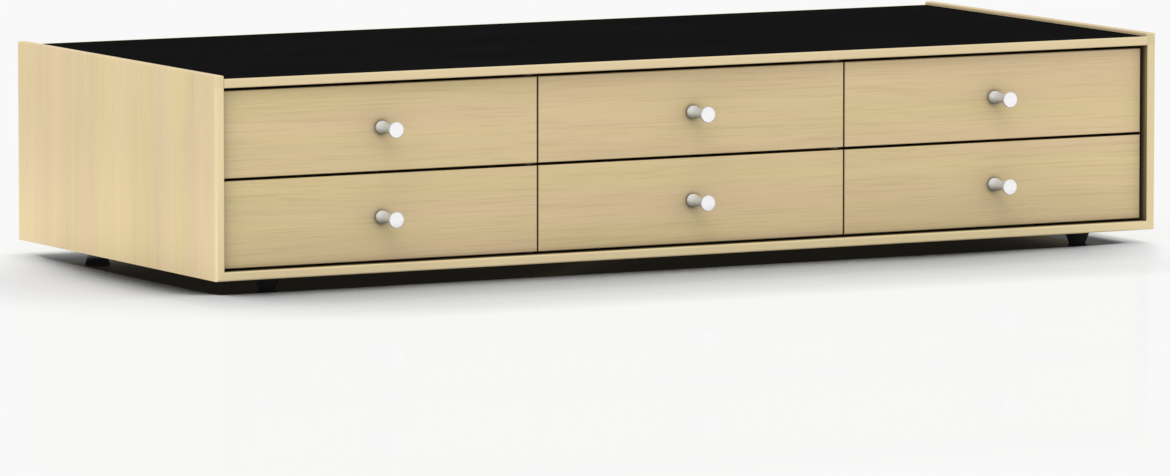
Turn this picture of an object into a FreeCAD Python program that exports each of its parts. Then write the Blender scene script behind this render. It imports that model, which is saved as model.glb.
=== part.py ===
"""A low chest of six small drawers for craft stamps and other small supplies, in millimetres.

Three columns and two rows of drawers stand in a thin-walled case with a black laminate top. The sides
rise a little above the top, the bottom is mitred to them, and the drawer fronts sit back from the
front edge. Each drawer hangs on wooden runners and is pulled by a turned metal knob.

+X is to the right, +Y goes to the back and +Z is up. The origin is on the floor, in the middle of the
ground that the chest and its knobs cover.
"""

import FreeCAD, Part
import os
from FreeCAD import Vector

# Case
case_width = 762.0
case_depth = 325.0
side_height = 144.0
board_thickness = 6.4
top_lip = 2.5  # how far the sides stand above the top
divider_thickness = 6.4
divider_housing = 1.5  # depth of the housings that hold the dividers
divider_set_back = 1.0  # air between a drawer front and the divider behind it
tongue_length = 3.0
tongue_thickness = 2.6
tongue_stop = 8.0  # plain length at each end of the tongue
edge_radius = 1.2  # rounding of the case's front edges
back_thickness = 4.0
back_inset = 0.5
rebate_depth = 3.2
laminate_thickness = 0.8
lipping_width = 2.0  # wood left in front of and behind the laminate

# Drawers
column_names = ["left", "centre", "right"]
divider_names = ["left", "right"]
row_names = ["lower", "upper"]
front_recess = 7.0
front_thickness = 12.0
gap_below_fronts = 1.6
gap_between_rows = 2.1
gap_above_fronts = 2.6
gap_beside_fronts = 2.0
gap_between_columns = 1.4
box_clearance = 1.5  # air between a drawer box and a divider
box_bottom_step = 3.0  # from the front's lower edge up to the box
box_top_step = 7.0  # from the front's upper edge down to the box
box_side_thickness = 9.0
box_back_thickness = 8.0
box_back_set_in = 10.0
box_back_housing = 3.0
box_bottom_thickness = 3.2
box_bottom_lift = 5.0
box_bottom_groove = 3.0
dovetail_depth = 6.0
dovetail_root = 5.0
dovetail_tip = 7.0
dovetail_stop = 6.0  # wood left above the dovetail
front_chamfer = 0.5  # round a drawer front's face
box_chamfer = 0.8  # along the top of a drawer's sides and back

# Runners
runner_height = 9.0
runner_housing = 1.5  # how deep a runner is glued into its wall
runner_engagement = 3.0  # how far a runner reaches into the drawer side
runner_side_clearance = 0.5
runner_clearance = 0.3  # air above and below a runner in its groove
runner_end_gap = 3.0  # from the divider's front edge to the runner
runner_lead_in = 8.0
runner_tip = 0.8  # how far the tapered end still reaches into the groove

# Felt drawer stops on the back panel
stop_width = 8.0
stop_thickness = 3.0
stop_clearance = 0.3
stop_drop = 9.0  # below the top of the box

# Knob
knob_length = 24.0
knob_base_radius = 5.0
knob_neck_radius = 3.45
knob_head_radius = 5.7
knob_base_length = 6.8  # of the full round at the drawer front
knob_head_length = 2.6  # of the full round at the tip
knob_base_taper = 3.6  # length over which the base runs into the neck
knob_flare = 3.6  # length over which the neck runs out to the head
knob_screw_radius = 2.0
knob_thread_length = 12.0
knob_bore_extra = 1.5
knob_screw_head_radius = 3.5
knob_screw_head_height = 2.6
knob_hole_clearance = 0.25

# Feet
foot_height = 9.5
foot_top_radius = 9.0
foot_bottom_radius = 6.2
foot_flange = 1.6
foot_from_side = 51.0
foot_from_front = 24.5

# Fits
glue_gap = 0.05
thread_clearance = 0.1

# Places that follow from the sizes above
knob_overhang = knob_length - front_recess
y_front = -(case_depth + knob_overhang) / 2 + knob_overhang
y_back = y_front + case_depth
y_face = y_front + front_recess
y_front_back = y_face + front_thickness
y_divider = y_front_back + divider_set_back
y_back_panel = y_back - back_inset - back_thickness
y_box_end = y_back_panel - stop_thickness - stop_clearance
outer = case_width / 2
inner = outer - board_thickness
z_base = foot_height
z_floor = z_base + board_thickness
z_rim = z_base + side_height
z_top = z_rim - top_lip
z_ceiling = z_top - board_thickness
columns = len(column_names)
rows = len(row_names)
front_width = (2 * inner - 2 * gap_beside_fronts - (columns - 1) * gap_between_columns) / columns
front_room = z_ceiling - z_floor - gap_below_fronts - gap_above_fronts - (rows - 1) * gap_between_rows
front_height = front_room / rows
column_pitch = front_width + gap_between_columns
row_pitch = front_height + gap_between_rows
box_width = column_pitch - divider_thickness - 2 * box_clearance
box_height = front_height - box_bottom_step - box_top_step
wall_gap = gap_beside_fronts + (front_width - box_width) / 2
runner_groove_depth = runner_engagement + runner_side_clearance


def column_x(column):
    """Middle of a column of drawers."""
    return -inner + gap_beside_fronts + front_width / 2 + column * column_pitch


def row_z(row):
    """Lower edge of the fronts in a row."""
    return z_floor + gap_below_fronts + row * row_pitch


def divider_x(index):
    return column_x(index) + column_pitch / 2


def z_of_runner(z):
    """Lower face of the runners for a front whose lower edge is at z: half-way up the box."""
    return z + box_bottom_step + (box_height - runner_height) / 2


def runner_z(row):
    return z_of_runner(row_z(row))


def ordered(a, b):
    return (a, b) if a < b else (b, a)


def block(x, y, z):
    """A board between the given (low, high) pairs."""
    return Part.makeBox(x[1] - x[0], y[1] - y[0], z[1] - z[0], Vector(x[0], y[0], z[0]))


def prism(points, direction):
    """A closed outline drawn out along a vector."""
    outline = Part.makePolygon([Vector(*p) for p in points + points[:1]])
    return Part.Face(outline).extrude(Vector(*direction))


def turned(edges):
    """A profile of edges from axis to axis, turned about Z."""
    return Part.Solid(Part.Face(Part.Wire(edges)).revolve(Vector(0, 0, 0), Vector(0, 0, 1), 360))


def profile(points):
    """Straight edges through (radius, height) points, closed."""
    corners = [Vector(r, 0, h) for r, h in points + points[:1]]
    return [Part.LineSegment(a, b).toShape() for a, b in zip(corners, corners[1:])]


def placed(shape, position, direction):
    """A shape made about +Z, turned to a direction and moved to a position."""
    turn = FreeCAD.Rotation(Vector(0, 0, 1), Vector(*direction))
    copy = shape.copy()
    copy.Placement = FreeCAD.Placement(Vector(*position), turn)
    return copy


def near(a, *places):
    return any(abs(a - place) < 0.01 for place in places)


def edges_of(shape, chosen):
    """The edges whose two ends and middle are all chosen."""
    edges = []
    for edge in shape.Edges:
        middle = edge.valueAt((edge.FirstParameter + edge.LastParameter) / 2)
        if all(chosen(point) for point in [middle] + [vertex.Point for vertex in edge.Vertexes]):
            edges.append(edge)
    return edges


def rounded(shape, radius, chosen):
    return shape.makeFillet(radius, edges_of(shape, chosen))


def chamfered(shape, size, chosen):
    return shape.makeChamfer(size, edges_of(shape, chosen))


def mirrored(shape):
    return shape.mirror(Vector(0, 0, 0), Vector(1, 0, 0))


def foot_places():
    reach = outer - foot_from_side
    ends = (y_front + foot_from_front, y_back - foot_from_front)
    return [(x, y) for x in (-reach, reach) for y in ends]


def side_panel():
    """The left side: mitred at the bottom, grooved for the top and rebated for the back."""
    panel = prism(
        [
            (-outer, y_front, z_base),
            (-outer, y_front, z_rim),
            (-inner, y_front, z_rim),
            (-inner, y_front, z_floor),
        ],
        (0, case_depth, 0),
    )
    panel = rounded(
        panel,
        edge_radius,
        lambda p: near(p.z, z_rim) or (near(p.y, y_front) and near(p.x, -outer, -inner)),
    )
    z_tongue = z_ceiling + (board_thickness - tongue_thickness) / 2
    groove = block(
        (-inner - tongue_length - glue_gap, -inner),
        (y_front + tongue_stop - glue_gap, y_back - tongue_stop + glue_gap),
        (z_tongue - glue_gap, z_tongue + tongue_thickness + glue_gap),
    )
    rebate = block(
        (-inner - rebate_depth, -inner),
        (y_back_panel, y_back),
        (z_floor - rebate_depth, z_ceiling + rebate_depth),
    )
    return panel.cut([groove, rebate] + [runner_cutter(-inner, 1, row) for row in range(rows)])


def divider_housings(z_low, z_high):
    """Cutters for the dividers' housings in the top or bottom panel."""
    half = divider_thickness / 2 + glue_gap
    return [
        block(
            (divider_x(i) - half, divider_x(i) + half),
            (y_divider - glue_gap, y_back_panel),
            (z_low, z_high),
        )
        for i in range(columns - 1)
    ]


def bottom_panel():
    panel = prism(
        [
            (-outer, y_front, z_base),
            (outer, y_front, z_base),
            (inner, y_front, z_floor),
            (-inner, y_front, z_floor),
        ],
        (0, case_depth, 0),
    )
    panel = rounded(panel, edge_radius, lambda p: near(p.y, y_front) and near(p.z, z_base, z_floor))
    rebate = block(
        (-inner - rebate_depth, inner + rebate_depth),
        (y_back_panel, y_back),
        (z_floor - rebate_depth, z_floor),
    )
    return panel.cut([rebate] + divider_housings(z_floor - divider_housing, z_floor))


def top_panel():
    """The top, with a tongue at each end and a shallow recess for the laminate."""
    panel = block((-inner, inner), (y_front, y_back), (z_ceiling, z_top))
    panel = rounded(panel, edge_radius, lambda p: near(p.y, y_front) and near(p.z, z_ceiling, z_top))
    z_tongue = z_ceiling + (board_thickness - tongue_thickness) / 2
    tongue = block(
        (-inner - tongue_length, inner + tongue_length),
        (y_front + tongue_stop, y_back - tongue_stop),
        (z_tongue, z_tongue + tongue_thickness),
    )
    recess = block(
        (-inner, inner),
        (y_front + lipping_width, y_back - lipping_width),
        (z_top - laminate_thickness, z_top),
    )
    rebate = block((-inner, inner), (y_back_panel, y_back), (z_ceiling, z_ceiling + rebate_depth))
    cutters = [recess, rebate] + divider_housings(z_ceiling, z_ceiling + divider_housing)
    return panel.fuse(tongue).cut(cutters).removeSplitter()


def top_laminate():
    return block(
        (-inner + glue_gap, inner - glue_gap),
        (y_front + lipping_width + glue_gap, y_back - lipping_width - glue_gap),
        (z_top - laminate_thickness, z_top),
    )


def back_panel():
    reach = inner + rebate_depth - glue_gap
    return block(
        (-reach, reach),
        (y_back_panel, y_back_panel + back_thickness),
        (z_floor - rebate_depth + glue_gap, z_ceiling + rebate_depth - glue_gap),
    )


def divider(index):
    x = divider_x(index)
    half = divider_thickness / 2
    panel = block(
        (x - half, x + half),
        (y_divider, y_back_panel),
        (z_floor - divider_housing + glue_gap, z_ceiling + divider_housing - glue_gap),
    )
    return panel.cut([runner_cutter(x + side * half, side, row) for side in (-1, 1) for row in range(rows)])


def runner_cutter(x_wall, side, row):
    """The housing for a runner in the wall at x_wall, open to a side (-1 or 1) and to the back."""
    z = runner_z(row)
    return block(
        ordered(x_wall, x_wall - side * (runner_housing + glue_gap)),
        (y_divider + runner_end_gap - glue_gap, y_back_panel),
        (z - glue_gap, z + runner_height + glue_gap),
    )


def runner(x_wall, side, gap, row):
    """A runner from its housing in a wall across the gap beside the drawer, tapered at its front end."""
    y_low = y_divider + runner_end_gap
    z = runner_z(row)
    x_in = x_wall - side * runner_housing
    x_tip = x_wall + side * (gap + runner_tip)
    x_out = x_wall + side * (gap + runner_engagement)
    return prism(
        [
            (x_in, y_low, z),
            (x_tip, y_low, z),
            (x_out, y_low + runner_lead_in, z),
            (x_out, y_back_panel, z),
            (x_in, y_back_panel, z),
        ],
        (0, 0, runner_height),
    )


def drawer_stops():
    """A pad for each side board of each drawer, on the back panel."""
    half = stop_width / 2
    depth = (y_back_panel - stop_thickness, y_back_panel)
    pads = []
    for column in range(columns):
        for row in range(rows):
            z = row_z(row) + box_bottom_step + box_height - stop_drop
            for x in side_middles(column_x(column)):
                pads.append(block((x - half, x + half), depth, (z - half, z + half)))
    return pads


def foot():
    """A tapered rubber foot about Z, its sole on the floor."""
    return turned(
        profile(
            [
                (0, 0),
                (foot_bottom_radius, 0),
                (foot_top_radius, foot_height - foot_flange),
                (foot_top_radius, foot_height),
                (0, foot_height),
            ]
        )
    )


def dovetail(x, z_low, z_high, gap):
    """A dovetail key in the back of a drawer front, smaller all round by gap."""
    root = dovetail_root / 2 - gap
    tip = dovetail_tip / 2 - gap
    y_tip = y_front_back - dovetail_depth + gap
    return prism(
        [
            (x - root, y_front_back, z_low),
            (x - tip, y_tip, z_low),
            (x + tip, y_tip, z_low),
            (x + root, y_front_back, z_low),
        ],
        (0, 0, z_high - z_low),
    )


def side_middles(x):
    """X of the middles of the two side boards of a box centred at x."""
    offset = (box_width - box_side_thickness) / 2
    return x - offset, x + offset


def drawer_front(x, z):
    panel = block((x - front_width / 2, x + front_width / 2), (y_face, y_front_back), (z, z + front_height))
    panel = chamfered(panel, front_chamfer, lambda p: near(p.y, y_face))
    box_low = z + box_bottom_step
    dovetail_top = box_low + box_height - dovetail_stop
    cutters = [dovetail(middle, z, dovetail_top, 0) for middle in side_middles(x)]
    half = box_width / 2 - box_side_thickness + box_bottom_groove
    z_groove = box_low + box_bottom_lift
    cutters.append(
        block(
            (x - half, x + half),
            (y_front_back - box_bottom_groove, y_front_back),
            (z_groove, z_groove + box_bottom_thickness),
        )
    )
    hole = Part.makeCylinder(knob_screw_radius + knob_hole_clearance, front_thickness)
    cutters.append(placed(hole, (x, y_face, z + front_height / 2), (0, 1, 0)))
    return panel.cut(cutters)


def drawer_side(x, z, side):
    """A side board with its dovetail, runner groove, bottom groove and housing for the back."""
    middle = side_middles(x)[0 if side < 0 else 1]
    low = z + box_bottom_step
    high = low + box_height
    half = box_side_thickness / 2
    run = (y_front_back, y_box_end)
    panel = block((middle - half, middle + half), run, (low, high))
    panel = chamfered(
        panel, box_chamfer, lambda p: near(p.z, high) and near(p.x, middle - half, middle + half)
    )
    key = dovetail(middle, low, high - dovetail_stop - glue_gap, glue_gap)
    outside = middle + side * half
    inside = middle - side * half
    z_runner = z_of_runner(z)
    runner_groove = block(
        ordered(outside, outside - side * runner_groove_depth),
        run,
        (z_runner - runner_clearance, z_runner + runner_height + runner_clearance),
    )
    z_bottom = low + box_bottom_lift
    bottom_groove = block(
        ordered(inside, inside + side * box_bottom_groove),
        (y_front_back - box_bottom_groove, y_box_end),
        (z_bottom, z_bottom + box_bottom_thickness),
    )
    y_housing = y_box_end - box_back_set_in - box_back_thickness
    back_housing = block(
        ordered(inside, inside + side * box_back_housing),
        (y_housing, y_housing + box_back_thickness),
        (z_bottom + box_bottom_thickness, high),
    )
    return panel.fuse(key).cut([runner_groove, bottom_groove, back_housing]).removeSplitter()


def drawer_bottom(x, z):
    half = box_width / 2 - box_side_thickness + box_bottom_groove - glue_gap
    low = z + box_bottom_step + box_bottom_lift
    return block(
        (x - half, x + half),
        (y_front_back - box_bottom_groove + glue_gap, y_box_end),
        (low, low + box_bottom_thickness),
    )


def drawer_back(x, z):
    half = box_width / 2 - box_side_thickness + box_back_housing - glue_gap
    low = z + box_bottom_step + box_bottom_lift + box_bottom_thickness
    y_low = y_box_end - box_back_set_in - box_back_thickness
    return block(
        (x - half, x + half), (y_low, y_low + box_back_thickness), (low, z + box_bottom_step + box_height)
    )


def knob():
    """A turned knob about +Z, waisted between its base and its head, and bored for a screw."""
    bore = knob_screw_radius + thread_clearance
    depth = knob_thread_length + knob_bore_extra
    neck_start = knob_base_length + knob_base_taper
    head = knob_length - knob_head_length
    return turned(
        profile(
            [
                (0, depth),
                (bore, depth),
                (bore, 0),
                (knob_base_radius, 0),
                (knob_base_radius, knob_base_length),
                (knob_neck_radius, neck_start),
                (knob_neck_radius, head - knob_flare),
                (knob_head_radius, head),
                (knob_head_radius, knob_length),
                (0, knob_length),
            ]
        )
    )


def knob_screw():
    """A cheese-head screw about +Z, its head's seat at the origin and its thread upwards."""
    length = front_thickness + knob_thread_length
    return turned(
        profile(
            [
                (0, -knob_screw_head_height),
                (knob_screw_head_radius, -knob_screw_head_height),
                (knob_screw_head_radius, 0),
                (knob_screw_radius, 0),
                (knob_screw_radius, length),
                (0, length),
            ]
        )
    )


def save(name, solids):
    """Writes one node: a single solid, or a group of separate ones."""
    shapes = solids if isinstance(solids, list) else [solids]
    group = [s for shape in shapes for s in shape.Solids]
    whole = group[0] if len(group) == 1 else Part.makeCompound(group)
    if not whole.isValid():
        raise ValueError(name + " is not a valid solid")
    whole.exportStep("parts/" + name + ".step")


def make_case():
    left = side_panel()
    save("side_panel_left", left)
    save("side_panel_right", mirrored(left))
    save("bottom_panel", bottom_panel())
    save("top_panel", top_panel())
    save("top_laminate", top_laminate())
    save("back_panel", back_panel())
    for row, row_name in enumerate(row_names):
        left = runner(-inner, 1, wall_gap, row)
        save("side_runner_" + row_name + "_left", left)
        save("side_runner_" + row_name + "_right", mirrored(left))
    for i, name in enumerate(divider_names):
        save("divider_" + name, divider(i))
        x = divider_x(i)
        save(
            "divider_runners_" + name,
            [
                runner(x + side * divider_thickness / 2, side, box_clearance, row)
                for side in (-1, 1)
                for row in range(rows)
            ],
        )
    save("drawer_stops", drawer_stops())
    save("feet", [placed(foot(), (x, y, 0), (0, 0, 1)) for x, y in foot_places()])


def make_drawer(name, x, z):
    z_knob = z + front_height / 2
    save(name + "_front", drawer_front(x, z))
    save(name + "_side_left", drawer_side(x, z, -1))
    save(name + "_side_right", drawer_side(x, z, 1))
    save(name + "_back", drawer_back(x, z))
    save(name + "_bottom", drawer_bottom(x, z))
    save(name + "_knob", placed(knob(), (x, y_face, z_knob), (0, -1, 0)))
    save(name + "_knob_screw", placed(knob_screw(), (x, y_front_back, z_knob), (0, -1, 0)))


os.makedirs("parts", exist_ok=True)
make_case()
for row, row_name in enumerate(row_names):
    for column, column_name in enumerate(column_names):
        make_drawer("drawer_" + row_name + "_" + column_name, column_x(column), row_z(row))
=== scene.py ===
import math

import bmesh
import bpy
from mathutils import Matrix, Vector


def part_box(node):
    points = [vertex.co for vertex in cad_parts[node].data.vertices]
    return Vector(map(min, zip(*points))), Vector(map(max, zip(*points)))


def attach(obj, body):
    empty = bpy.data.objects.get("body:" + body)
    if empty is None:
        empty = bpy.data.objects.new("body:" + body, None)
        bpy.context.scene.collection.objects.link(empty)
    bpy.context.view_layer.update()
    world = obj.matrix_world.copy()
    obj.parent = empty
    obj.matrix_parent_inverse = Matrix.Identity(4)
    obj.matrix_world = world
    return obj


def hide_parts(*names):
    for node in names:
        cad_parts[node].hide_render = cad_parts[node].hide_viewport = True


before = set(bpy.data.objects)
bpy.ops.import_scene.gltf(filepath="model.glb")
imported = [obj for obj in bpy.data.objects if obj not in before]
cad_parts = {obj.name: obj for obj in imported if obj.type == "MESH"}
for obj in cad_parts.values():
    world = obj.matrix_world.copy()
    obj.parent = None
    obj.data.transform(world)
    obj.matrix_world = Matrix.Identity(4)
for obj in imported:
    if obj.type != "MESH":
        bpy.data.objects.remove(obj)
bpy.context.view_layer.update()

camera = {
    "place": (-3.5552, -6.6427, 0.7914),
    "turn": 28.101,  # degrees from +Y towards +X
    "tilt": 5.939,  # degrees down
    "lens": 320.94,
    "clipEnd": 100.0,
}
floor = {  # lengths in metres
    "reach": 30.0,
    "colour": (0.915, 0.915, 0.915, 1.0),
    "shadow": (0.004, 0.004, 0.004, 1),
    "glow": 0.88,  # share of its light that the floor keeps whatever shades it
    "glowStrength": 1.045,
    "shadowReach": 0.24,  # how far from the case the contact shadow gathers
    "samples": 64,  # fewer leave the deep shadow blotchy
    "shut": 0.44,  # the openness that counts as none
    "open": 0.90,  # and as full
    "shadowDepth": 0.52,
    "contact": (0.06, 0.20),  # below this openness the shadow deepens to its darkest
    "shadowLean": (0.70, 0.65, 0.36),  # where the light that it hides comes from
    "fadeRight": (0.373, 0.400),  # the shadow dies out past the right end,
    "fadeSlant": 0.6,  # the sooner the further in front
    "fadeSlantBack": 0.5,  # and the later the further behind
    "fadeFrom": -0.154,  # this line
    "fadeReach": (0.23, 0.30),  # as far forward as this,
    "fadeBack": (0.10, 0.24),  # past the back
    "fadeLeft": (0.376, 0.420),  # and, beyond the left side,
    "fadeLeftBack": (-0.02, 0.20),  # towards the back
    "leftWide": (0.385, 0.455),  # all along the left side it thins out here
    "leftShare": 0.5,
    "behind": (0.150, 0.180),  # the softer shadow behind the case starts here,
    "behindEnd": (-0.464, -0.250),  # away from its left end,
    "behindSlant": 0.55,
    "behindRight": (0.33, 0.47),  # and dies out past its right end
    "behindLean": (0.0, -0.35, 1.0),
    "behindShare": 0.80,
    "mirror": 0.045,  # share of light that the lacquered floor mirrors
    "mirrorDeep": 0.115,  # and where it lies in full shadow
    "mirrorRoughness": 0.04,
}
sky = {
    "low": (0.94, 0.94, 0.94, 1.0),  # colour at the horizon
    "high": (1.0, 1.0, 1.0, 1.0),  # colour overhead
    "top": 0.9,  # how far up it is reached
    "strength": 0.86,
}
sun = {"turn": -46.0, "height": 58.0, "angle": 40.0, "strength": 0.80}

ash = {
    "pale": (0.706, 0.565, 0.300, 1.0),
    "rosy": (0.713, 0.549, 0.322, 1.0),
    "line": (0.480, 0.345, 0.160, 1.0),
    "pore": (0.330, 0.215, 0.095, 1.0),
    "lighter": 1.0,
    "bandWidth": 11.0,  # mm across the grain, as the other widths here
    "lineWidth": 1.5,
    "lineLength": 90.0,  # mm along the grain
    "bandStrength": 0.13,
    "lineStrength": 0.30,
    "fibreStrength": 0.10,
    "poreStrength": 0.30,
    "roughness": 0.48,
    "coat": 0.08,
    "bump": 0.22,
}
ashSide = dict(
    ash,
    pale=(0.752, 0.604, 0.316, 1.0),
    rosy=(0.760, 0.591, 0.350, 1.0),
    bandWidth=26.0,
    lineWidth=3.4,
    bandStrength=0.20,
    lineStrength=0.09,
    lineLength=150.0,
)
maple = dict(
    ash,
    pale=(0.720, 0.590, 0.390, 1.0),
    rosy=(0.730, 0.575, 0.395, 1.0),
    lineStrength=0.18,
    poreStrength=0.10,
)
beech = dict(
    ash,
    pale=(0.600, 0.410, 0.230, 1.0),
    rosy=(0.620, 0.400, 0.240, 1.0),
    line=(0.430, 0.260, 0.130, 1.0),
    lineStrength=0.18,
    poreStrength=0.55,
    coat=0.0,
)
reveal = {
    "front": -154.0,  # mm, the mouth of the case
    "face": -147.0,
    "side": 374.6,
    "outside": 380.0,  # further out than this is a side's outer face
    "slack": 0.05,
    "low": 15.9,
    "high": 144.6,
    "mouthTone": 0.62,  # painted shade: the light kept on the lips at the mouth
    "depthTone": 0.10,  # and at the drawer fronts
    "sideDark": 0.75,  # painted shade: the upright lips lose this much more of it at the mouth's foot
    "sideRise": 0.33,  # and less by this at its head
    "lipping": 3.0,  # mm, the solid edge strip
    "lippingLight": 1.09,
    "lippingHigh": -0.07,  # painted shade on the strip along the top, where more light falls
    "lippingColour": (0.740, 0.625, 0.385, 1.0),
    "lippingShare": 0.5,
}
frontEdge = {
    "gapShadeAndStrip": 0.80,  # how much painted shade shows on the edges that face the gaps
    "gapShadeAndStripColour": (0.090, 0.046, 0.022, 1.0),
    "gapShadeReach": 1.4,  # mm behind the face where it is full
    "faceDepth": 0.8,  # mm, what still counts as the face
    "low": {"lower": 0.32, "upper": 0.0},  # painted shade along the lower edge, by row
    "lowReach": 2.6,  # mm, as the other reaches
    # and along both ends, by column
    "ends": {"left": (0.18, 0.0), "centre": (0.0, 0.0), "right": (0.0, 0.08)},
    "endReach": 5.0,
}
# painted light: the outer sides are paler near the floor, between these heights in mm
sideGlow = {"low": 0.0, "high": 110.0, "gain": 0.16}
halo = {  # painted shade round a knob's foot, mm
    "radius": 4.8,
    "near": 0.56,
    "nearReach": 1.3,
    "far": 0.14,
    "farReach": 8.0,
}

mm = 0.001


class Value:
    # a node's output, so that sums on it read as sums
    def __init__(self, graph, socket):
        self.graph = graph
        self.socket = socket

    def part(self, name):
        return Value(self.graph, self.socket.node.outputs[name])

    def __add__(self, other):
        return self.graph.sum("ADD", self, other)

    def __sub__(self, other):
        return self.graph.sum("SUBTRACT", self, other)

    def __mul__(self, other):
        return self.graph.sum("MULTIPLY", self, other)

    def __truediv__(self, other):
        return self.graph.sum("DIVIDE", self, other)

    def __pow__(self, other):
        return self.graph.sum("POWER", self, other)

    def __gt__(self, other):
        return self.graph.sum("GREATER_THAN", self, other)

    def __lt__(self, other):
        return self.graph.sum("LESS_THAN", self, other)

    def __neg__(self):
        return self.graph.sum("MULTIPLY", self, -1.0)

    def __rsub__(self, other):
        return self.graph.sum("SUBTRACT", other, self)

    __radd__ = __add__
    __rmul__ = __mul__


class Graph:
    # makes the nodes of one tree
    def __init__(self, tree):
        self.tree = tree
        tree.nodes.clear()

    def node(self, kind, settings=None, sockets=None, out=0):
        made = self.tree.nodes.new(kind)
        for name, value in (settings or {}).items():
            setattr(made, name, value)
        for name, value in (sockets or {}).items():
            if isinstance(value, Value):
                self.tree.links.new(value.socket, made.inputs[name])
            else:
                made.inputs[name].default_value = value
        return Value(self, made.outputs[out]) if len(made.outputs) else made

    def sum(self, operation, first, second=0.0):
        return self.node("ShaderNodeMath", {"operation": operation}, {0: first, 1: second})

    def vector(self, operation, first, second):
        sockets = {0: first, 1: second}
        return self.node("ShaderNodeVectorMath", {"operation": operation}, sockets)

    def scaled(self, colour, light):
        sockets = {0: colour, "Scale": light}
        return self.node("ShaderNodeVectorMath", {"operation": "SCALE"}, sockets)

    def blend(self, factor, first, second):
        # colours go through here, so that they stay colours
        return self.node(
            "ShaderNodeMix",
            {"data_type": "RGBA"},
            {"Factor": factor, 6: first, 7: second},
            2,
        )

    def clamp(self, value, low, high):
        # 0 below low, 1 above high, smooth between
        return self.node(
            "ShaderNodeMapRange",
            {"interpolation_type": "SMOOTHSTEP"},
            {"Value": value, "From Min": low, "From Max": high},
        )


class Finish(Graph):
    # one material, from its coordinates to its surface
    def __init__(self, name):
        self.material = bpy.data.materials.new(name)
        self.material.use_nodes = True
        super().__init__(self.material.node_tree)
        self.place = self.node("ShaderNodeTexCoord", out="Object")

    def noise(self, scale, shift=(0, 0, 0), detail=2.0, roughness=0.5, place=None):
        # noise with its own scale along X, Y and Z
        at = self.vector("MULTIPLY", place or self.place, scale)
        at = self.vector("ADD", at, shift)
        return self.node(
            "ShaderNodeTexNoise",
            {"noise_dimensions": "3D"},
            {"Vector": at, "Scale": 1.0, "Detail": detail, "Roughness": roughness},
            "Fac",
        )

    def surface(self, sockets, bump=None):
        if bump:
            given = dict(zip(("Height", "Strength", "Distance"), bump))
            sockets["Normal"] = self.node("ShaderNodeBump", {}, given)
        shader = self.node("ShaderNodeBsdfPrincipled", {}, sockets)
        self.node("ShaderNodeOutputMaterial", {}, {"Surface": shader})
        return self.material


def alongAxis(axis, along, across):
    # a scale that is long and slow along the grain
    return tuple(along if i == axis else across for i in range(3))


figure = {  # what all woods share; pairs are noise scales along and across the grain
    "shift": (3.71, 5.13, 2.39),  # from one seed's noise to the next
    "waver": (3.0, 6.0),
    "wander": 0.012,  # metres that a line strays from straight
    "broad": (1.6, 0.35),  # the second is a share of the band's own scale
    "tint": (1.8, 0.55),
    "bands": (0.28, 1.0),  # shares of the line's scale and of the band's
    "fibres": (45.0, 2400.0),
    "dashes": (110.0, 1900.0),
    "sparse": (6.0, 60.0),
    "cloud": (12.0, 14.0),
    "tintCut": (0.36, 0.64),  # where on its noise a mark begins and is full
    "lineCut": (0.46, 0.74),
    "dashCut": (0.64, 0.78),
    "sparseCut": (0.40, 0.62),
    "broadStrength": 0.10,
    "cloudStrength": 0.05,
    "fibreDepth": 0.4,  # against a pore's
    "lineDepth": 0.4,
    "relief": 0.06,  # mm
}


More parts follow.
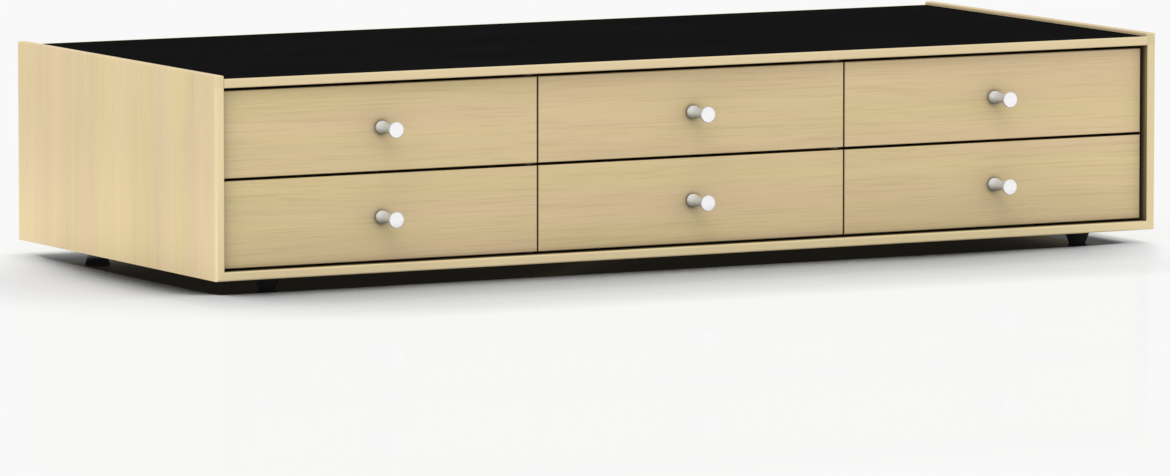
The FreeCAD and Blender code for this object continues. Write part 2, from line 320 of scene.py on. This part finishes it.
def woodFinish(name, wood, axis, seed, tone=None):
    # axis is the grain's direction, 0 to 2 for X to Z
    f = Finish(name)
    shift = tuple(seed * step for step in figure["shift"])
    band, line = 1 / (wood["bandWidth"] * mm), 1 / (wood["lineWidth"] * mm)
    along = 1 / (wood["lineLength"] * mm)
    waver = f.noise(alongAxis(axis, *figure["waver"]), shift, 2.0) - 0.5
    stray = waver * figure["wander"]
    drift = f.node("ShaderNodeCombineXYZ", {}, {i: stray for i in range(3) if i != axis})
    at = f.vector("ADD", f.place, drift)

    def grain(key, start, detail, roughness, lengthwise=1.0, crosswise=1.0):
        scale = alongAxis(axis, figure[key][0] * lengthwise, figure[key][1] * crosswise)
        return f.noise(scale, start, detail, roughness, at)

    broad = grain("broad", shift, 1.0, 0.5, crosswise=band)
    tint = grain("tint", (seed, 7.7, seed * 0.3), 1.5, 0.5, crosswise=band)
    bands = grain("bands", shift, 2.0, 0.55, along, band)
    rings = f.noise(alongAxis(axis, along, line), shift, 2.0, 0.6, at)
    fibres = grain("fibres", shift, 2.0, 0.6)
    dashes = grain("dashes", shift, 1.0, 0.5)
    sparse = grain("sparse", (seed * 1.3, 1.9, 4.1), 1.0, 0.5)
    cloud = f.noise(alongAxis(axis, *figure["cloud"]), shift, 2.0)
    lines = f.clamp(rings, *figure["lineCut"])
    pores = f.clamp(dashes, *figure["dashCut"]) * f.clamp(sparse, *figure["sparseCut"])
    colour = f.blend(f.clamp(tint, *figure["tintCut"]), wood["pale"], wood["rosy"])
    light = 1.0 + (bands - 0.5) * wood["bandStrength"]
    light = light + (broad - 0.5) * figure["broadStrength"]
    light = light + (cloud - 0.5) * figure["cloudStrength"]
    light = (light + (fibres - 0.5) * wood["fibreStrength"]) * wood["lighter"]
    colour = f.blend(lines * wood["lineStrength"], colour, wood["line"])
    colour = f.blend(pores * wood["poreStrength"], colour, wood["pore"])
    # a tone paints light and shade into the colour, and mixes in a second colour: the
    # case's edge strips' own colour, and the painted shade on the drawer fronts' gap edges
    if tone:
        share, gapShadeAndStrip, gapShadeAndStripColour = tone(f)
        light = light * share
        colour = f.blend(gapShadeAndStrip, colour, gapShadeAndStripColour)
    height = fibres * figure["fibreDepth"] - lines * figure["lineDepth"] - pores
    return f.surface(
        {
            "Base Color": f.scaled(colour, light),
            "Roughness": wood["roughness"] + lines * 0.08 + pores * 0.1,
            "Coat Weight": wood["coat"],
            "Coat Roughness": 0.28,
            "Specular IOR Level": 0.30,
        },
        (height, wood["bump"], figure["relief"] * mm),
    )


def axes(f):
    split = f.node("ShaderNodeSeparateXYZ", {}, {0: f.place})
    return split.part("X"), split.part("Y"), split.part("Z")


def mouthTone(f):
    # painted shade: the case's lips darken towards the drawer fronts. Their solid edge
    # strips are a shade lighter, and the outer sides get painted light near the floor
    x, y, z = axes(f)
    depth = f.clamp(y, reveal["front"] * mm, reveal["face"] * mm)
    aside = f.sum("ABSOLUTE", x)
    slack = reveal["slack"]
    within = (aside < (reveal["side"] + slack) * mm) * (z > (reveal["low"] - slack) * mm)
    within = within * (z < (reveal["high"] + slack) * mm)
    strip = y < (reveal["front"] + reveal["lipping"]) * mm
    high = (z > reveal["high"] * mm) * reveal["lippingHigh"]
    outside = aside > reveal["outside"] * mm
    # painted light on the outer sides near the floor
    glow = 1.0 - f.clamp(z, sideGlow["low"] * mm, sideGlow["high"] * mm)
    glow = glow * outside * sideGlow["gain"]
    # painted shade on the lips, deepening towards the drawer fronts
    dark = (1.0 - reveal["mouthTone"]) + depth * (reveal["mouthTone"] - reveal["depthTone"])
    upright = (aside > (reveal["side"] - slack) * mm) * within * (1.0 - depth)
    head = f.clamp(z, reveal["low"] * mm, reveal["high"] * mm) * reveal["sideRise"]
    light = (1.0 - dark * within) * (1.0 + strip * (high + reveal["lippingLight"] - 1.0))
    light = light * (1.0 - upright * (reveal["sideDark"] - head))
    return light + glow, strip * reveal["lippingShare"], reveal["lippingColour"]


def frontTone(centre, low, high, row, column):
    # painted shade round a knob's foot and along some edges, and painted shade on the edges
    # that face the gaps, mixed in as a dark colour
    def tone(f):
        x, y, z = axes(f)
        away = f.sum("SQRT", (x - centre[0]) ** 2.0 + (z - centre[2]) ** 2.0)
        reach = f.sum("MAXIMUM", away - halo["radius"] * mm, 0.0)
        near = f.sum("EXPONENT", reach * (-1 / (halo["nearReach"] * mm))) * halo["near"]
        far = f.sum("EXPONENT", reach * (-1 / (halo["farReach"] * mm))) * halo["far"]
        outside = y < (reveal["face"] + frontEdge["faceDepth"]) * mm
        normal = f.node("ShaderNodeTexCoord", out="Normal")
        facing = f.node("ShaderNodeSeparateXYZ", {}, {0: normal}, "Y")
        edge = f.sum("ABSOLUTE", facing) < 0.5
        # painted shade on the edges that face the gaps
        full = reveal["face"] + frontEdge["gapShadeReach"]
        gapShadeAndStrip = edge * f.clamp(y, reveal["face"] * mm, full * mm) * frontEdge["gapShadeAndStrip"]
        # painted shade along the lower edge and the ends
        edgeShade = 0.0
        left, right = frontEdge["ends"][column]
        shades = [(z - low[2], frontEdge["low"][row], frontEdge["lowReach"])]
        shades.append((x - low[0], left, frontEdge["endReach"]))
        shades.append((high[0] - x, right, frontEdge["endReach"]))
        for apart, shade, width in shades:
            if shade:
                inwards = f.sum("MAXIMUM", apart, 0.0)
                edgeShade += f.sum("EXPONENT", inwards * (-1 / (width * mm))) * shade
        return 1.0 - (near + far + edgeShade) * outside, gapShadeAndStrip, frontEdge["gapShadeAndStripColour"]

    return tone


laminate = {
    "deep": (0.0052, 0.0052, 0.0054, 1),
    "pale": (0.0092, 0.0092, 0.0094, 1),
    "fleck": (0.030, 0.030, 0.031, 1),
    "fleckCut": (0.62, 0.74),
    "fleckStrength": 0.5,
    "fleckScale": 2600,  # per metre, as the other scales
    "gritScale": 1400,
    "cloudScale": (9, 14, 9),
    "relief": 0.05,  # mm
}


def laminateFinish():
    f = Finish("blackLaminate")
    grit = f.noise([laminate["gritScale"]] * 3, detail=2.0)
    cloud = f.noise(laminate["cloudScale"], detail=3.0)
    fleck = f.noise([laminate["fleckScale"]] * 3, detail=1.0)
    fleck = f.clamp(fleck, *laminate["fleckCut"]) * laminate["fleckStrength"]
    colour = f.blend(cloud, laminate["deep"], laminate["pale"])
    colour = f.blend(fleck, colour, laminate["fleck"])
    return f.surface(
        {"Base Color": colour, "Roughness": 0.78 + cloud * 0.10, "Specular IOR Level": 0.0},
        (grit, 0.2, laminate["relief"] * mm),
    )


metal = {
    "up": 0.86,  # where the painted bright side of the stem faces
    "left": 0.42,
    "front": 0.20,
    "dullAndShade": (-0.75, 0.55),  # painted shade, from the darkest side to where it isn't darkened
    "bright": (0.15, 0.75),
    "near": (-11.0, -1.0),  # mm from the drawer front, where the painted highlight sets in
    "marks": 9000.0,  # turning marks per metre of the profile
    "smear": 240,
    "relief": 0.03,  # mm
}


aluminium = {
    "colour": (0.67, 0.715, 0.76),
    "metallic": 0.25,
    "roughness": 0.18,
    "shade": 0.78,  # painted shade: how much darker it is on the side that faces the floor
    "shine": 0.42,  # painted highlight: how much brighter the other side is near the drawer front
}
polished = {
    "colour": (1.0, 1.0, 1.0),
    "metallic": 0.35,
    "roughness": 0.10,
    "shade": 0.0,
    "shine": 0.0,
}


def metalFinish(name, kind):
    f = Finish(name)
    normal = f.node("ShaderNodeTexCoord", out="Normal")
    split = f.node("ShaderNodeSeparateXYZ", {}, {0: normal})
    # painted shade and highlight: darker on the side that faces the floor, brighter on the
    # lit side near the drawer front
    lit = split.part("Z") * metal["up"] - split.part("X") * metal["left"]
    lit = lit - split.part("Y") * metal["front"]
    dullAndShade = (1.0 - f.clamp(lit, *metal["dullAndShade"])) * kind["shade"]
    near = f.clamp(axes(f)[1], *((reveal["face"] + reach) * mm for reach in metal["near"]))
    dullAndShade = dullAndShade - near * f.clamp(lit, *metal["bright"]) * kind["shine"]
    turned = f.node("ShaderNodeAttribute", {"attribute_name": "alongProfile"}, out="Fac")
    marks = f.node(
        "ShaderNodeTexNoise",
        {"noise_dimensions": "1D"},
        {"W": turned * metal["marks"], "Scale": 1.0, "Detail": 2.0},
        "Fac",
    )
    smear = f.noise([metal["smear"]] * 3, detail=2.0)
    light = (1.0 - smear * 0.08) * (0.97 + marks * 0.06) * (1.0 - dullAndShade)
    return f.surface(
        {
            "Base Color": f.scaled(kind["colour"], light),
            "Metallic": kind["metallic"],
            "Roughness": kind["roughness"] + smear * 0.08 + marks * 0.06,
        },
        (marks, 0.10, metal["relief"] * mm),
    )


steel = {"blotch": 700, "dullAndShade": (0.50, 0.50, 0.47, 1), "bright": (0.66, 0.65, 0.60, 1)}
rubber = {
    "dust": 900,
    "dustCut": (0.5, 0.8),
    "black": (0.010, 0.010, 0.010, 1),
    "dusty": (0.026, 0.025, 0.024, 1),
    "relief": 0.08,  # mm
}
felt = {
    "fluff": 1800,
    "dark": (0.06, 0.06, 0.055, 1),
    "pale": (0.22, 0.21, 0.20, 1),
    "relief": 0.3,  # mm
}


def steelFinish():
    f = Finish("zincSteel")
    blotch = f.noise([steel["blotch"]] * 3, detail=3.0)
    colour = f.blend(blotch, steel["dullAndShade"], steel["bright"])
    roughness = 0.30 + blotch * 0.2
    return f.surface({"Base Color": colour, "Metallic": 1.0, "Roughness": roughness})


def rubberFinish():
    f = Finish("blackRubber")
    dust = f.noise([rubber["dust"]] * 3, detail=3.0)
    colour = f.blend(f.clamp(dust, *rubber["dustCut"]), rubber["black"], rubber["dusty"])
    return f.surface(
        {"Base Color": colour, "Roughness": 0.62 + dust * 0.2, "Specular IOR Level": 0.3},
        (dust, 0.3, rubber["relief"] * mm),
    )


def feltFinish():
    f = Finish("greyFelt")
    fluff = f.noise([felt["fluff"]] * 3, detail=4.0, roughness=0.7)
    colour = f.blend(fluff, felt["dark"], felt["pale"])
    return f.surface(
        {"Base Color": colour, "Roughness": 0.95, "Specular IOR Level": 0.1},
        (fluff, 0.8, felt["relief"] * mm),
    )


finishes = {
    "laminate": laminateFinish(),
    "metal": metalFinish("satinAluminium", aluminium),
    "face": metalFinish("polishedFace", polished),
    "steel": steelFinish(),
    "rubber": rubberFinish(),
    "felt": feltFinish(),
}
print("plain finishes made")


def dress(node, material):
    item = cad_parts[node]
    item.data.materials.clear()
    item.data.materials.append(material)


columns = ["left", "centre", "right"]
rows = ["lower", "upper"]
drawers = ["drawer_" + row + "_" + column for row in rows for column in columns]

caseBoards = {  # node: (wood, grain axis)
    "side_panel_left": (ashSide, 2),
    # the right side is a darker copy of the same wood: painted shade on the side away from
    # the light
    "side_panel_right": (dict(ashSide, lighter=0.92), 2),
    "bottom_panel": (ashSide, 0),
    "top_panel": (ashSide, 0),
    "back_panel": (maple, 0),
    "divider_left": (maple, 1),
    "divider_right": (maple, 1),
    "divider_runners_left": (beech, 1),
    "divider_runners_right": (beech, 1),
    "side_runner_lower_left": (beech, 1),
    "side_runner_lower_right": (beech, 1),
    "side_runner_upper_left": (beech, 1),
    "side_runner_upper_right": (beech, 1),
}
drawerBoards = {
    "front": (ash, 0),
    "side_left": (maple, 1),
    "side_right": (maple, 1),
    "back": (maple, 0),
    "bottom": (maple, 0),
}

firstDrawerSeed = 20  # the case's boards take the seeds before it

for seed, (node, (wood, axis)) in enumerate(caseBoards.items()):
    tone = mouthTone if wood["pale"] == ashSide["pale"] else None
    dress(node, woodFinish("wood_" + node, wood, axis, seed + 1, tone))
for number, drawer in enumerate(drawers):
    low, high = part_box(drawer + "_knob")
    middle = [(low[i] + high[i]) / 2 for i in range(3)]
    tones = frontTone(middle, *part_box(drawer + "_front"), *drawer.split("_")[1:])
    for offset, (piece, (wood, axis)) in enumerate(drawerBoards.items()):
        node = drawer + "_" + piece
        seed = firstDrawerSeed + number * len(drawerBoards) + offset
        tone = tones if piece == "front" else None
        dress(node, woodFinish("wood_" + node, wood, axis, seed, tone))
dress("top_laminate", finishes["laminate"])
dress("drawer_stops", finishes["felt"])
dress("feet", finishes["rubber"])
for drawer in drawers:
    dress(drawer + "_knob", finishes["metal"])
    dress(drawer + "_knob_screw", finishes["steel"])
print("boards dressed")


knob = {
    # distance from the drawer front and radius there, in mm
    "profile": [
        (0.0, 4.20), (0.70, 4.25), (0.78, 4.78), (2.0, 4.80), (3.6, 4.62),
        (5.4, 4.26), (7.2, 3.86), (9.0, 3.54), (11.0, 3.34), (13.0, 3.27),
        (15.0, 3.30), (16.6, 3.50), (18.0, 3.92), (19.4, 4.50), (20.8, 5.06),
        (22.2, 5.50), (23.3, 5.70), (23.72, 5.68), (23.92, 5.56), (24.0, 5.36),
    ],
    "sides": 96,
    "step": 0.35,  # mm between rings on the smooth stem
    "tip": 0.02,  # mm, what counts as the end face
}


def smoothLine(points, step):
    # a monotone curve through the points, so that no ring overshoots
    gaps = []
    for one, two in zip(points, points[1:]):
        width = two[0] - one[0]
        gaps.append((width, (two[1] - one[1]) / width))
    slopes = [gaps[0][1]]
    for (_, before), (_, after) in zip(gaps, gaps[1:]):
        turns = before * after <= 0
        slopes.append(0.0 if turns else 2 * before * after / (before + after))
    slopes.append(gaps[-1][1])
    line = []
    for i, (width, _) in enumerate(gaps):
        (x0, y0), (_, y1) = points[i], points[i + 1]
        count = max(1, round(width / step))
        for j in range(count):
            t = j / count
            a, b = 2 * t**3 - 3 * t**2 + 1, t**3 - 2 * t**2 + t
            c, d = -2 * t**3 + 3 * t**2, t**3 - t**2
            bend = width * (b * slopes[i] + d * slopes[i + 1])
            line.append((x0 + width * t, a * y0 + c * y1 + bend))
    return line + [points[-1]]


def ringPoint(angle, radius, height):
    return Vector((math.cos(angle) * radius, math.sin(angle) * radius, height)) * mm


def turn(name, path, sides):
    # a closed lathe round +Z through (height, radius) points in mm
    mesh = bpy.data.meshes.new(name)
    build = bmesh.new()
    along = build.verts.layers.float.new("alongProfile")
    rings = []
    run = 0.0
    before = path[0]
    for height, radius in path:
        run += math.dist(before, (height, radius)) * mm
        before = (height, radius)
        ring = []
        for i in range(sides):
            vert = build.verts.new(ringPoint(2 * math.pi * i / sides, radius, height))
            vert[along] = run
            ring.append(vert)
        rings.append(ring)
    for one, two in zip(rings, rings[1:]):
        for i in range(sides):
            j = (i + 1) % sides
            build.faces.new((one[i], one[j], two[j], two[i]))
    for ring in (rings[0], rings[-1]):
        middle = build.verts.new(sum((v.co for v in ring), Vector()) / sides)
        middle[along] = ring[0][along] + (ring[0].co - middle.co).length
        for i in range(sides):
            build.faces.new((middle, ring[i], ring[(i + 1) % sides]))
    bmesh.ops.recalc_face_normals(build, faces=build.faces)
    build.to_mesh(mesh)
    build.free()
    return mesh


def addSlottedTop(mesh, radius, slot, depth, edge):
    # the two halves of a screw head beside its slot, from height 0 down to depth, in mm
    build = bmesh.new()
    build.from_mesh(mesh)
    steps = 18  # round each half
    for side in (0, math.pi):
        layers = []
        for height, reach in ((0.0, radius - edge), (edge, radius), (depth, radius)):
            start = math.asin(slot / 2 / reach)
            sweep = (math.pi - 2 * start) / steps
            angles = [side + start + sweep * i for i in range(steps + 1)]
            layers.append([build.verts.new(ringPoint(a, reach, height)) for a in angles])
        for one, two in zip(layers, layers[1:]):
            for i in range(steps + 1):
                j = (i + 1) % (steps + 1)
                build.faces.new((one[i], one[j], two[j], two[i]))
        build.faces.new(layers[0])
        build.faces.new(layers[-1])
    bmesh.ops.recalc_face_normals(build, faces=build.faces)
    build.to_mesh(mesh)
    build.free()


sharpAngle = 35  # degrees; edges steeper than this stay sharp


def finishMesh(mesh, material):
    for face in mesh.polygons:
        face.use_smooth = True
    mesh.set_sharp_from_angle(angle=math.radians(sharpAngle))
    mesh.materials.clear()
    mesh.materials.append(material)


def showPiece(name, mesh):
    item = bpy.data.objects.new(name, mesh)
    bpy.context.scene.collection.objects.link(item)
    return item


def againstFront(node):
    # turns a piece from +Z to -Y and moves it to the back of the node's box
    low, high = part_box(node)
    place = ((low[0] + high[0]) / 2, high[1], (low[2] + high[2]) / 2)
    return Matrix.Translation(place) @ Matrix.Rotation(math.radians(90), 4, "X")


def makeKnob(drawer):
    path = smoothLine(knob["profile"], knob["step"])
    mesh = turn(drawer + "KnobTurned", path, knob["sides"])
    mesh.transform(againstFront(drawer + "_knob"))
    finishMesh(mesh, finishes["metal"])
    mesh.materials.append(finishes["face"])
    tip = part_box(drawer + "_knob")[0][1] + knob["tip"] * mm
    for face in mesh.polygons:
        face.material_index = int(face.center.y < tip)
    item = showPiece(drawer + "KnobTurned", mesh)
    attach(item, drawer)
    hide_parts(drawer + "_knob")


slotStep = 1.37  # radians from one screw's slot to the next, so that no two stand alike
slotStart = 0.4
knobScrew = {
    "head": 3.5,  # mm, as below
    "headHeight": 2.6,
    "shank": 2.0,
    "length": 26.6,
    "slot": 1.1,
    "slotDepth": 1.1,
    "edge": 0.3,
    "point": 0.6,
    "sides": 40,
}


def makeScrew(drawer):
    k = knobScrew
    path = [
        (k["slotDepth"], k["head"]),
        (k["headHeight"], k["head"]),
        (k["headHeight"], k["shank"]),
        (k["length"] - k["point"], k["shank"]),
        (k["length"], k["shank"] - k["point"]),
    ]
    mesh = turn(drawer + "ScrewTurned", path, k["sides"])
    addSlottedTop(mesh, k["head"], k["slot"], k["slotDepth"], k["edge"])
    spin = Matrix.Rotation(drawers.index(drawer) * slotStep + slotStart, 4, "Z")
    mesh.transform(againstFront(drawer + "_knob_screw") @ spin)
    finishMesh(mesh, finishes["steel"])
    item = showPiece(drawer + "ScrewTurned", mesh)
    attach(item, drawer)
    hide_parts(drawer + "_knob_screw")


for drawer in drawers:
    makeKnob(drawer)
    makeScrew(drawer)
print("knobs and their screws turned")


class GeometryGraph(Graph):
    # a geometry tree with named inputs
    def __init__(self, name, inputs):
        tree = bpy.data.node_groups.new(name, "GeometryNodeTree")
        super().__init__(tree)
        add = tree.interface.new_socket
        for side in ("OUTPUT", "INPUT"):
            add(name="Geometry", in_out=side, socket_type="NodeSocketGeometry")
        self.keys = {}
        for label, kind in inputs.items():
            made = add(name=label, in_out="INPUT", socket_type="NodeSocket" + kind)
            self.keys[label] = made.identifier
        self.given = self.node("NodeGroupInput")

    def finish(self, geometry, material):
        real = self.node("GeometryNodeRealizeInstances", {}, {"Geometry": geometry})
        sockets = {"Geometry": real, "Material": material}
        done = self.node("GeometryNodeSetMaterial", {}, sockets)
        self.node("NodeGroupOutput", {}, {"Geometry": done})


arrayInputs = {
    "Columns": "Int",
    "Rows": "Int",
    "Width": "Float",
    "Height": "Float",
    "Rim Only": "Bool",
    "Sway": "Float",
    "Tilt": "Float",
    "Spin": "Float",
    "Seed": "Int",
    "Turn": "Vector",
    "Middle": "Vector",
    "Material": "Material",
}
rimSlack = 0.1  # mm, how near the grid's edge counts as its rim


def makeArrayTree():
    # copies of the piece on a grid round the middle, or only along the grid's rim,
    # each a little askew
    g = GeometryGraph("pieceArray", arrayInputs)
    sizes = {
        "Size X": g.given.part("Width"),
        "Size Y": g.given.part("Height"),
        "Vertices X": g.given.part("Columns"),
        "Vertices Y": g.given.part("Rows"),
    }
    grid = g.node("GeometryNodeMeshGrid", {}, sizes)
    split = g.node("ShaderNodeSeparateXYZ", {}, {0: g.node("GeometryNodeInputPosition")})
    chosen = 1.0 - g.given.part("Rim Only")
    for axis, side in (("X", "Width"), ("Y", "Height")):
        rim = g.given.part(side) * 0.5 - rimSlack * mm
        chosen = chosen + (g.sum("ABSOLUTE", split.part(axis)) > rim)
    chosen = chosen > 0.5
    seed = g.given.part("Seed")
    flat = {"data_type": "FLOAT_VECTOR"}
    sway = {0: (-1, -1, 0), 1: (1, 1, 0), "Seed": seed}
    sway = g.node("FunctionNodeRandomValue", flat, sway)
    reach = {0: g.given.part("Sway"), 1: g.given.part("Sway")}
    shift = g.vector("MULTIPLY", sway, g.node("ShaderNodeCombineXYZ", {}, reach))
    points = g.node("GeometryNodeSetPosition", {}, {"Geometry": grid, "Offset": shift})
    lean = {0: (-1, -1, -1), 1: (1, 1, 1), "Seed": seed + 1.0}
    lean = g.node("FunctionNodeRandomValue", flat, lean)
    reach = {0: g.given.part("Tilt"), 1: g.given.part("Tilt"), 2: g.given.part("Spin")}
    askew = g.vector("MULTIPLY", lean, g.node("ShaderNodeCombineXYZ", {}, reach))
    copies = {"Points": points, "Selection": chosen, "Rotation": askew}
    copies["Instance"] = g.given.part("Geometry")
    made = g.node("GeometryNodeInstanceOnPoints", {}, copies)
    move = {"Geometry": made, "Rotation": g.given.part("Turn")}
    move["Translation"] = g.given.part("Middle")
    g.finish(g.node("GeometryNodeTransform", {}, move), g.given.part("Material"))
    return g


arrayTree = makeArrayTree()


def repeatPiece(name, mesh, inputs):
    # runs the tree on one piece and keeps the result as a plain mesh
    source = showPiece(name + "Source", mesh)
    modifier = source.modifiers.new("array", "NODES")
    modifier.node_group = arrayTree.tree
    for label, value in inputs.items():
        modifier[arrayTree.keys[label]] = value
    graph = bpy.context.evaluated_depsgraph_get()
    made = bpy.data.meshes.new_from_object(source.evaluated_get(graph))
    made.name = name
    source.modifiers.remove(modifier)
    bpy.data.objects.remove(source)
    finishMesh(made, inputs["Material"])
    return showPiece(name, made)


foot = {
    # height above the floor and radius, in mm, from the top down the outside and up
    # into the screw's recess
    "profile": [
        (9.5, 8.6), (9.3, 8.95), (8.9, 9.0), (8.0, 9.0), (7.6, 8.86), (1.0, 6.52),
        (0.45, 6.2), (0.12, 5.8), (0.0, 5.3), (0.0, 4.1), (0.12, 3.8), (0.4, 3.62),
        (4.6, 3.5),
    ],
    "sides": 72,
    "radius": 9.0,
}
footScrew = {  # mm, in the foot's recess
    "head": 2.7,
    "taper": 0.1,
    "rise": 1.5,
    "slot": 0.9,
    "slotDepth": 0.7,
    "edge": 0.35,
    "sides": 36,
    "seat": 4.6,
}
pin = {  # mm, round the back panel
    "radius": 1.25,
    "rise": 0.42,
    "shank": 0.6,
    "depth": 0.8,
    "under": 0.02,  # the head's edge goes this far into the board
    "angles": (0.0, 0.3, 0.6, 0.9, 1.2, 1.45),  # radians, the rings of its dome
    "sides": 14,
    "spacing": 92.0,
    "inset": 2.1,
    "seat": 170.5,
    "fewestRows": 3,
    "sway": 0.35,  # how far one stands out of line
}


def makeFeet():
    low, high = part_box("feet")
    middle = [(low[i] + high[i]) / 2 for i in range(2)]
    spread = [high[i] - low[i] - 2 * foot["radius"] * mm for i in range(2)]
    grid = {
        "Columns": 2,
        "Rows": 2,
        "Width": spread[0],
        "Height": spread[1],
        "Rim Only": False,
        "Sway": 0.0,
        "Tilt": 0.0,
        "Seed": 5,
        "Turn": (0.0, 0.0, 0.0),
    }
    inputs = dict(grid, Spin=0.0, Middle=(*middle, 0.0), Material=finishes["rubber"])
    mesh = turn("footTurned", foot["profile"], foot["sides"])
    item = repeatPiece("feetTurned", mesh, inputs)
    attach(item, "case")
    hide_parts("feet")
    k = footScrew
    path = [(k["slotDepth"], k["head"]), (k["rise"], k["head"] - k["taper"])]
    mesh = turn("footScrewTurned", path, k["sides"])
    addSlottedTop(mesh, k["head"], k["slot"], k["slotDepth"], k["edge"])
    seat = (k["seat"] - k["rise"]) * mm
    inputs = dict(grid, Spin=2.4, Middle=(*middle, seat), Material=finishes["steel"])
    item = repeatPiece("footScrews", mesh, inputs)
    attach(item, "case")


def makePins():
    # panel pins round the back, in the rebate
    low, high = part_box("back_panel")
    width, height = ((high[i] - low[i]) - 2 * pin["inset"] * mm for i in (0, 2))
    count = [round(reach / (pin["spacing"] * mm)) + 1 for reach in (width, height)]
    path = [(-pin["depth"], pin["shank"])]
    path += [(-pin["under"], radius) for radius in (pin["shank"], pin["radius"])]
    for angle in pin["angles"]:
        path.append((pin["rise"] * math.sin(angle), pin["radius"] * math.cos(angle)))
    inputs = {
        "Columns": count[0],
        "Rows": max(count[1], pin["fewestRows"]),
        "Width": width,
        "Height": height,
        "Rim Only": True,
        "Sway": pin["sway"] * mm,
        "Tilt": 0.05,
        "Spin": 3.0,
        "Seed": 11,
        "Turn": (math.radians(-90), 0.0, 0.0),
        "Middle": ((low[0] + high[0]) / 2, pin["seat"] * mm, (low[2] + high[2]) / 2),
        "Material": finishes["steel"],
    }
    item = repeatPiece("backPins", turn("pinTurned", path, pin["sides"]), inputs)
    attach(item, "case")


makeFeet()
makePins()
print("feet, foot screws and back pins made")


def makeFloor():
    reach = floor["reach"]
    mesh = bpy.data.meshes.new("floor")
    corners = [(-1, -1), (1, -1), (1, 1), (-1, 1)]
    mesh.from_pydata([(x * reach, y * reach, 0) for x, y in corners], [], [(0, 1, 2, 3)])
    item = bpy.data.objects.new("floor", mesh)
    bpy.context.scene.collection.objects.link(item)
    f = Finish("paleFloor")
    x, y = axes(f)[:2]
    end = f.clamp(x - y * floor["behindSlant"], *floor["behindEnd"])
    behind = f.clamp(y, *floor["behind"]) * end * (1.0 - f.clamp(x, *floor["behindRight"]))
    leans = [tuple(Vector(floor[key]).normalized()) for key in ("shadowLean", "behindLean")]
    lean = {"Factor": behind, 4: leans[0], 5: leans[1]}
    lean = f.node("ShaderNodeMix", {"data_type": "VECTOR"}, lean, 1)
    bare = f.node(
        "ShaderNodeAmbientOcclusion",
        {"samples": floor["samples"]},
        {"Distance": floor["shadowReach"], "Normal": lean},
        "AO",
    )
    # painted shadow: the contact shadow is painted into the floor's colour from ambient
    # occlusion, then thinned by position past the ends, the back and the left side
    share = (bare - floor["shut"]) / (floor["open"] - floor["shut"])
    share = f.sum("MINIMUM", f.sum("MAXIMUM", share, 0.0), 1.0)
    shade = 1.0 - share ** floor["shadowDepth"] * f.clamp(share, *floor["contact"])
    forward = floor["fadeFrom"] - y
    slants = [forward * floor[key] for key in ("fadeSlant", "fadeSlantBack")]
    past = x + f.sum("MAXIMUM", *slants)
    right = f.clamp(past, *floor["fadeRight"]) * (1.0 - f.clamp(-y, *floor["fadeReach"]))
    back = f.clamp(y, *floor["fadeBack"]) * (1.0 - behind)
    left = f.clamp(-x, *floor["fadeLeft"]) * f.clamp(y, *floor["fadeLeftBack"])
    wide = f.clamp(-x, *floor["leftWide"]) * floor["leftShare"]
    shade = shade * (1.0 - right) * (1.0 - back)
    shade = shade * (1.0 - behind * (1.0 - floor["behindShare"]))
    shade = shade * (1.0 - left) * (1.0 - wide)
    colour = f.blend(shade, floor["colour"], floor["shadow"])
    matt = f.node("ShaderNodeBsdfDiffuse", {}, {"Color": colour})
    glow = {"Color": colour, "Strength": floor["glowStrength"]}
    glow = f.node("ShaderNodeEmission", {}, glow)
    matt = f.node("ShaderNodeMixShader", {}, {"Fac": floor["glow"], 1: matt, 2: glow})
    gloss = f.node("ShaderNodeBsdfGlossy", {}, {"Roughness": floor["mirrorRoughness"]})
    mirror = floor["mirror"] + shade * (floor["mirrorDeep"] - floor["mirror"])
    both = f.node("ShaderNodeMixShader", {}, {"Fac": mirror, 1: matt, 2: gloss})
    f.node("ShaderNodeOutputMaterial", {}, {"Surface": both})
    mesh.materials.append(f.material)


def makeLights():
    world = bpy.data.worlds.new("studio")
    bpy.context.scene.world = world
    world.use_nodes = True
    g = Graph(world.node_tree)
    up = g.node("ShaderNodeTexCoord", out="Generated")
    height = g.node("ShaderNodeSeparateXYZ", {}, {0: up}, "Z")
    colour = g.blend(g.clamp(height, 0.0, sky["top"]), sky["low"], sky["high"])
    light = {"Color": colour, "Strength": sky["strength"]}
    light = g.node("ShaderNodeBackground", {}, light)
    g.node("ShaderNodeOutputWorld", {}, {"Surface": light})
    data = bpy.data.lights.new("sun", "SUN")
    data.energy = sun["strength"]
    data.angle = math.radians(sun["angle"])
    item = bpy.data.objects.new("sun", data)
    turn, height = math.radians(sun["turn"]), math.radians(sun["height"])
    flat = math.cos(height)
    towards = Vector((math.sin(turn) * flat, -math.cos(turn) * flat, math.sin(height)))
    item.rotation_euler = (-towards).to_track_quat("-Z", "Y").to_euler()
    bpy.context.scene.collection.objects.link(item)


def makeCamera():
    data = bpy.data.cameras.new("view")
    data.lens = camera["lens"]
    data.clip_end = camera["clipEnd"]
    item = bpy.data.objects.new("view", data)
    item.location = camera["place"]
    turn = Matrix.Rotation(-math.radians(camera["turn"]), 3, "Z")
    tilt = Matrix.Rotation(math.radians(90 - camera["tilt"]), 3, "X")
    item.rotation_euler = (turn @ tilt).to_euler()
    bpy.context.scene.collection.objects.link(item)
    bpy.context.scene.camera = item


makeFloor()
makeLights()
makeCamera()
bpy.context.scene.view_settings.view_transform = "Standard"
print("stage set")
